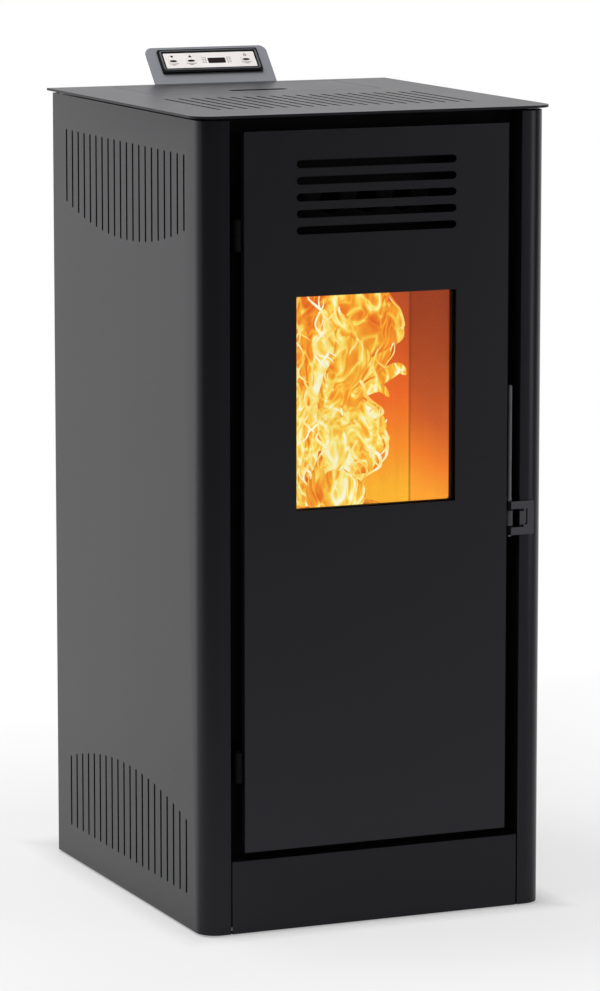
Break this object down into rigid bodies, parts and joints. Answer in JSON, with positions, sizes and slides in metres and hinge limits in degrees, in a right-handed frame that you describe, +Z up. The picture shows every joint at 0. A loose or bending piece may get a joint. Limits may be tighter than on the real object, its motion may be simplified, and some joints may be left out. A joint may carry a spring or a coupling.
{
  "type": "pellet stove",
  "caption": "Free-standing pellet stove: steel casing, full-height glazed door with side latch, rear hopper lid, tilted control panel, firebox, auger, fans and flue collar.",
  "frame": {"origin": "middle of the stove's overall footprint, on the floor under its feet", "axes": "+Z up, front with the door towards -Y, +X to the right of someone facing the door"},
  "size_m": [0.4536, 0.539, 1.0001],
  "materials": {
    "anthracite_coat": "satin powder coat, anthracite",
    "black_coat": "matt black stove paint",
    "grey_coat": "satin grey",
    "cast_iron": "matt, heat-blackened",
    "vermiculite": "rough, pressed board",
    "bare_steel": "mill finish sheet",
    "door_glass": "clear ceramic glass",
    "rope": "braided glass-fibre rope",
    "rubber": "matt",
    "black_plastic": "fine texture",
    "keypad_white": "satin film",
    "display_glass": "smoked",
    "igniter_ceramic": "matt",
    "circuit_board": "solder mask"
  },
  "bodies": {
    "casing": {"side_panel_left": "anthracite_coat", "side_panel_right": "anthracite_coat", "top_plate": "anthracite_coat", "rear_panel": "anthracite_coat", "base_plate": "black_coat", "foot_front_left": "rubber", "foot_front_right": "rubber", "foot_rear_left": "rubber", "foot_rear_right": "rubber", "plinth_panel": "anthracite_coat", "front_bulkhead": "black_coat", "hinge_bracket_lower": "black_coat", "hinge_bracket_upper": "black_coat", "pellet_hopper": "bare_steel", "lid_hinge_pin": "bare_steel", "auger_tube": "bare_steel", "auger_motor": "black_coat", "firebox_shell": "cast_iron", "firebox_liner_left": "vermiculite", "firebox_liner_right": "vermiculite", "firebox_liner_back": "vermiculite", "smoke_baffle": "vermiculite", "burn_pot_holder": "cast_iron", "igniter": "igniter_ceramic", "ash_pan": "bare_steel", "heat_exchanger": "bare_steel", "smoke_duct": "bare_steel", "exhaust_fan_housing": "cast_iron", "exhaust_motor": "black_coat", "flue_collar": "bare_steel", "air_duct": "bare_steel", "blower_housing": "black_coat", "air_intake_pipe": "bare_steel", "power_inlet": "black_plastic", "control_board": "circuit_board", "control_plate": "grey_coat", "control_bezel": "black_plastic", "keypad_face": "keypad_white", "display_window": "display_glass", "control_housing": "black_plastic"},
    "door": {"door_panel": "anthracite_coat", "door_stiffener_right": "black_coat", "door_stiffener_left": "black_coat", "window_frame": "cast_iron", "window_glass": "door_glass", "door_rope_seal": "rope", "hinge_lug_lower": "black_coat", "hinge_lug_upper": "black_coat", "latch_bracket": "grey_coat"},
    "latch": {"latch_plate": "grey_coat", "latch_rod": "grey_coat"},
    "lid": {"hopper_lid": "anthracite_coat"},
    "pot": {"burn_pot": "cast_iron"},
    "key_down": {"button_down": "keypad_white"},
    "key_up": {"button_up": "keypad_white"},
    "key_power": {"button_power": "keypad_white"},
    "rocker": {"mains_switch": "black_plastic"},
    "auger": {"auger_screw": "bare_steel"},
    "exhaust_rotor": {"exhaust_impeller": "bare_steel"},
    "room_rotor": {"blower_rotor": "bare_steel"}
  },
  "joints": [
    {"name": "door_swing", "type": "hinge", "parent": "casing", "child": "door", "pos_m": [-0.173, -0.2602, 0.518], "axis": [0, 0, -1], "range_deg": [0, 110]},
    {"name": "latch_swing", "type": "hinge", "parent": "door", "child": "latch", "pos_m": [0.1727, -0.2632, 0.4714], "axis": [0, 0, -1], "range_deg": [0, 95]},
    {"name": "lid_hinge", "type": "hinge", "parent": "casing", "child": "lid", "pos_m": [0, 0.1808, 0.9513], "axis": [-1, 0, 0], "range_deg": [0, 95]},
    {"name": "burn_pot_lift", "type": "slide", "parent": "casing", "child": "pot", "axis": [0, 0, 1], "range_m": [0, 0.07]},
    {"name": "button_down_press", "type": "slide", "parent": "casing", "child": "key_down", "axis": [0, 0.7314, -0.682], "range_m": [0, 0.0008], "stiffness_N_per_m": 1500},
    {"name": "button_up_press", "type": "slide", "parent": "casing", "child": "key_up", "axis": [0, 0.7314, -0.682], "range_m": [0, 0.0008], "stiffness_N_per_m": 1500},
    {"name": "button_power_press", "type": "slide", "parent": "casing", "child": "key_power", "axis": [0, 0.7314, -0.682], "range_m": [0, 0.0008], "stiffness_N_per_m": 1500},
    {"name": "mains_switch_rock", "type": "hinge", "parent": "casing", "child": "rocker", "pos_m": [0.165, 0.2165, 0.105], "axis": [1, 0, 0], "range_deg": [0, 14]},
    {"name": "auger_turn", "type": "hinge", "parent": "casing", "child": "auger", "pos_m": [0, 0.14069, 0.38111], "axis": [0, -0.7071, 0.7071], "continuous": true},
    {"name": "exhaust_fan_spin", "type": "hinge", "parent": "casing", "child": "exhaust_rotor", "pos_m": [-0.092, -0.1332, 0.24], "axis": [1, 0, 0], "continuous": true},
    {"name": "room_fan_spin", "type": "hinge", "parent": "casing", "child": "room_rotor", "pos_m": [0.122, -0.0579, 0.108], "axis": [1, 0, 0], "continuous": true}
  ]
}
